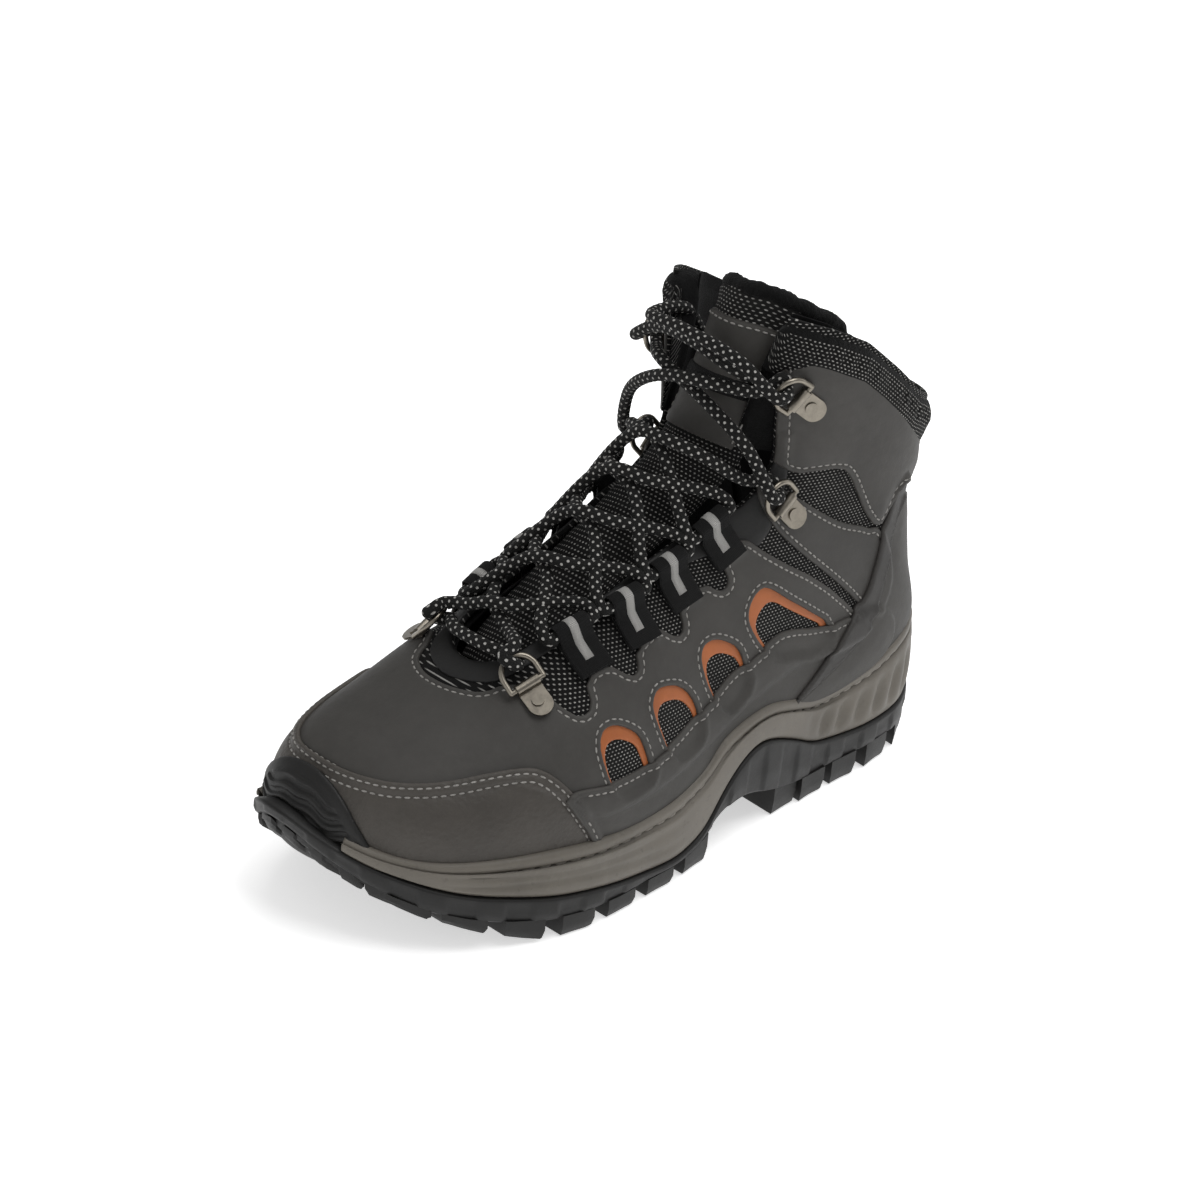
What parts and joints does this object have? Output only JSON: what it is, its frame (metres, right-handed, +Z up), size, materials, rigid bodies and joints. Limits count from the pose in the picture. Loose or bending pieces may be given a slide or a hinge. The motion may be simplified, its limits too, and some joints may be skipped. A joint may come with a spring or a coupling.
{
  "type": "hiking boot",
  "caption": "Mid-height lace-up hiking boot for a left foot, with a lugged rubber sole, leather panels over woven mesh, a padded collar and tongue, and a long lace.",
  "frame": {"origin": "on the ground under the middle of the boot's bounding box", "axes": "+X toward the toe (longest extent), +Y toward the outer side of the foot, +Z up"},
  "size_m": [0.2935, 0.1101, 0.1985],
  "materials": {
    "aglet": "clear black sleeve",
    "foam": "open foam",
    "footbed_foam": "textile covered foam",
    "insole_board": "pressed fibre board",
    "lace": "braided with pale flecks",
    "leather": "smooth matte",
    "lining": "brushed knit",
    "midsole_foam": "matte moulded foam",
    "outsole_rubber": "matte, moulded",
    "piping": "smooth",
    "ring_metal": "antique nickel",
    "shank_steel": "plain",
    "sole_thread": "thick thread",
    "stiffener": "thermoplastic sheet",
    "toe_leather": "grained",
    "trim_orange": "smooth",
    "webbing": "woven webbing",
    "woven_mesh": "black mesh with pale dots"
  },
  "bodies": {
    "boot": {"outsole": "outsole_rubber", "outsole_lugs": "outsole_rubber", "toe_bumper": "outsole_rubber", "midsole": "midsole_foam", "sidewall_stitching": "sole_thread", "shank": "shank_steel", "insole_board": "insole_board", "mesh_upper": "woven_mesh", "lining": "lining", "collar_padding": "foam", "toe_puff": "stiffener", "heel_counter": "stiffener", "throat_facing": "webbing", "vamp_quarter": "leather", "toe_cap": "toe_leather", "mudguard_lateral": "leather", "mudguard_medial": "leather", "heel_panel": "leather", "backstay_lateral": "piping", "backstay_medial": "piping", "collar_panel_lateral": "leather", "collar_panel_medial": "leather", "ankle_panel_lateral": "leather", "ankle_panel_medial": "leather", "window_trims_lateral": "trim_orange", "window_trims_medial": "trim_orange", "clip_lateral_0": "ring_metal", "clip_medial_0": "ring_metal", "clip_lateral_5": "ring_metal", "clip_medial_5": "ring_metal", "clip_lateral_6": "ring_metal", "clip_medial_6": "ring_metal", "clip_rivets": "ring_metal", "webbing_lateral": "webbing", "webbing_medial": "webbing", "lace": "lace", "aglets": "aglet"},
    "tongue": {"tongue_shell": "woven_mesh", "tongue_padding": "foam", "tongue_patch": "leather"},
    "footbed": {"footbed": "footbed_foam"},
    "lower_ring_lateral": {"dring_lateral_0": "ring_metal"},
    "lower_ring_medial": {"dring_medial_0": "ring_metal"},
    "ankle_ring_lateral": {"dring_lateral_5": "ring_metal"},
    "ankle_ring_medial": {"dring_medial_5": "ring_metal"},
    "cuff_ring_lateral": {"dring_lateral_6": "ring_metal"},
    "cuff_ring_medial": {"dring_medial_6": "ring_metal"}
  },
  "joints": [
    {"name": "lower_ring_lateral_hinge", "type": "hinge", "parent": "boot", "child": "lower_ring_lateral", "pos_m": [0.07255, 0.02463, 0.08567], "axis": [-0.8941, 0.2199, 0.3901], "range_deg": [-8, 20], "deforming": ["lace"]},
    {"name": "lower_ring_medial_hinge", "type": "hinge", "parent": "boot", "child": "lower_ring_medial", "pos_m": [0.07223, -0.02896, 0.08569], "axis": [0.9293, 0.2041, -0.3079], "range_deg": [-8, 20], "deforming": ["lace"]},
    {"name": "ankle_ring_lateral_hinge", "type": "hinge", "parent": "boot", "child": "ankle_ring_lateral", "pos_m": [-0.0422, 0.03209, 0.12557], "axis": [-0.7245, 0.0495, 0.6875], "range_deg": [-8, 20], "deforming": ["lace"]},
    {"name": "ankle_ring_medial_hinge", "type": "hinge", "parent": "boot", "child": "ankle_ring_medial", "pos_m": [-0.04214, -0.03699, 0.12545], "axis": [0.7188, 0.0791, -0.6907], "range_deg": [-8, 20], "deforming": ["lace"]},
    {"name": "cuff_ring_lateral_hinge", "type": "hinge", "parent": "boot", "child": "cuff_ring_lateral", "pos_m": [-0.04319, 0.03238, 0.16605], "axis": [-0.4888, 0.3496, 0.7993], "range_deg": [-8, 20], "deforming": ["lace"]},
    {"name": "cuff_ring_medial_hinge", "type": "hinge", "parent": "boot", "child": "cuff_ring_medial", "pos_m": [-0.04323, -0.03756, 0.16604], "axis": [0.4936, 0.3461, -0.7978], "range_deg": [-8, 20], "deforming": ["lace"]},
    {"name": "tongue_hinge", "type": "hinge", "parent": "boot", "child": "tongue", "pos_m": [0.065, 0, 0.078], "axis": [0, 1, 0], "range_deg": [-8, 0], "stiffness_Nm_per_rad": 0.3},
    {"name": "footbed_lift", "type": "hinge", "parent": "boot", "child": "footbed", "pos_m": [0.117, 0, 0.0265], "axis": [0, 1, 0], "range_deg": [0, 6]}
  ]
}
